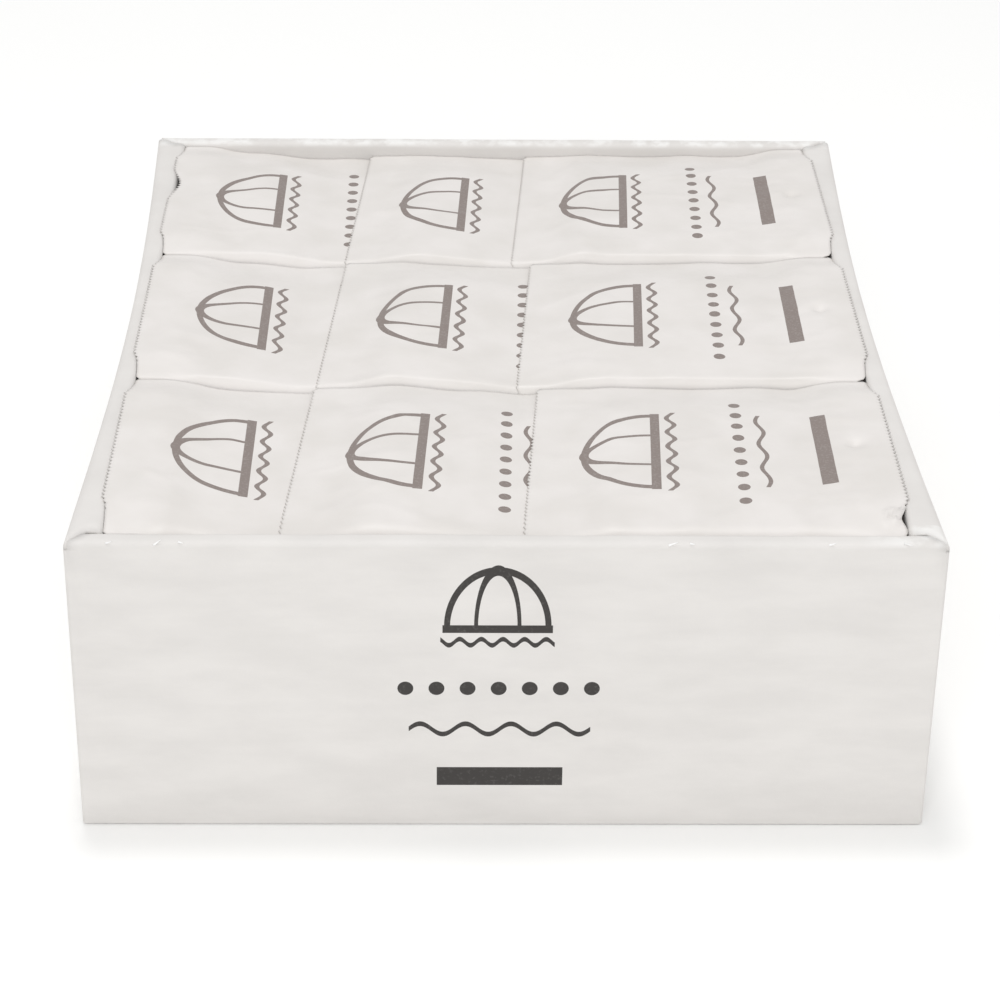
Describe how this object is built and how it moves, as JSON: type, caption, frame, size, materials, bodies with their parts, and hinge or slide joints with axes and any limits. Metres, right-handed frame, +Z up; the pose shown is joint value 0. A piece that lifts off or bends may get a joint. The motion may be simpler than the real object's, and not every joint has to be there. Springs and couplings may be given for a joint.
{
  "type": "carton of wrapped shower caps",
  "caption": "Open white corrugated carton filled with flat flow-wrapped shower caps; the sachets on top lie fanned in rows and lift out one by one.",
  "frame": {"origin": "centre of the carton's base, on the surface it stands on", "axes": "+Z up, +Y from the front wall to the back wall (the longest side), +X to the right"},
  "size_m": [0.25, 0.3, 0.097],
  "materials": {
    "board": "matte",
    "wrap": "matte",
    "cap_film": "satin",
    "elastic": "matte"
  },
  "bodies": {
    "carton": {"front_panel": "board", "back_panel": "board", "left_panel": "board", "right_panel": "board", "top_flap_front": "board", "top_flap_back": "board", "top_flap_left": "board", "top_flap_right": "board", "bottom_flap_front": "board", "bottom_flap_back": "board", "bottom_flap_left": "board", "bottom_flap_right": "board", "glue_flap": "board", "sachet_stack_rear_left": "wrap", "sachet_stack_rear_right": "wrap", "sachet_stack_middle_left": "wrap", "sachet_stack_middle_right": "wrap", "sachet_stack_front_left": "wrap", "sachet_stack_front_right": "wrap"},
    "sachet_rear_left": {"wrap_rear_left": "wrap", "bonnet_rear_left": "cap_film", "elastic_rear_left": "elastic"},
    "sachet_rear_centre": {"wrap_rear_centre": "wrap", "bonnet_rear_centre": "cap_film", "elastic_rear_centre": "elastic"},
    "sachet_rear_right": {"wrap_rear_right": "wrap", "bonnet_rear_right": "cap_film", "elastic_rear_right": "elastic"},
    "sachet_middle_left": {"wrap_middle_left": "wrap", "bonnet_middle_left": "cap_film", "elastic_middle_left": "elastic"},
    "sachet_middle_centre": {"wrap_middle_centre": "wrap", "bonnet_middle_centre": "cap_film", "elastic_middle_centre": "elastic"},
    "sachet_middle_right": {"wrap_middle_right": "wrap", "bonnet_middle_right": "cap_film", "elastic_middle_right": "elastic"},
    "sachet_front_left": {"wrap_front_left": "wrap", "bonnet_front_left": "cap_film", "elastic_front_left": "elastic"},
    "sachet_front_centre": {"wrap_front_centre": "wrap", "bonnet_front_centre": "cap_film", "elastic_front_centre": "elastic"},
    "sachet_front_right": {"wrap_front_right": "wrap", "bonnet_front_right": "cap_film", "elastic_front_right": "elastic"}
  },
  "joints": [
    {"name": "lift_rear_left", "type": "slide", "parent": "carton", "child": "sachet_rear_left", "axis": [0, 0, 1], "range_m": [0, 0.06]},
    {"name": "lift_rear_centre", "type": "slide", "parent": "sachet_rear_left", "child": "sachet_rear_centre", "axis": [0, 0, 1], "range_m": [0, 0.06]},
    {"name": "lift_rear_right", "type": "slide", "parent": "sachet_rear_centre", "child": "sachet_rear_right", "axis": [0, 0, 1], "range_m": [0, 0.06]},
    {"name": "lift_middle_left", "type": "slide", "parent": "carton", "child": "sachet_middle_left", "axis": [0, 0, 1], "range_m": [0, 0.06]},
    {"name": "lift_middle_centre", "type": "slide", "parent": "sachet_middle_left", "child": "sachet_middle_centre", "axis": [0, 0, 1], "range_m": [0, 0.06]},
    {"name": "lift_middle_right", "type": "slide", "parent": "sachet_middle_centre", "child": "sachet_middle_right", "axis": [0, 0, 1], "range_m": [0, 0.06]},
    {"name": "lift_front_left", "type": "slide", "parent": "carton", "child": "sachet_front_left", "axis": [0, 0, 1], "range_m": [0, 0.06]},
    {"name": "lift_front_centre", "type": "slide", "parent": "sachet_front_left", "child": "sachet_front_centre", "axis": [0, 0, 1], "range_m": [0, 0.06]},
    {"name": "lift_front_right", "type": "slide", "parent": "sachet_front_centre", "child": "sachet_front_right", "axis": [0, 0, 1], "range_m": [0, 0.06]}
  ]
}
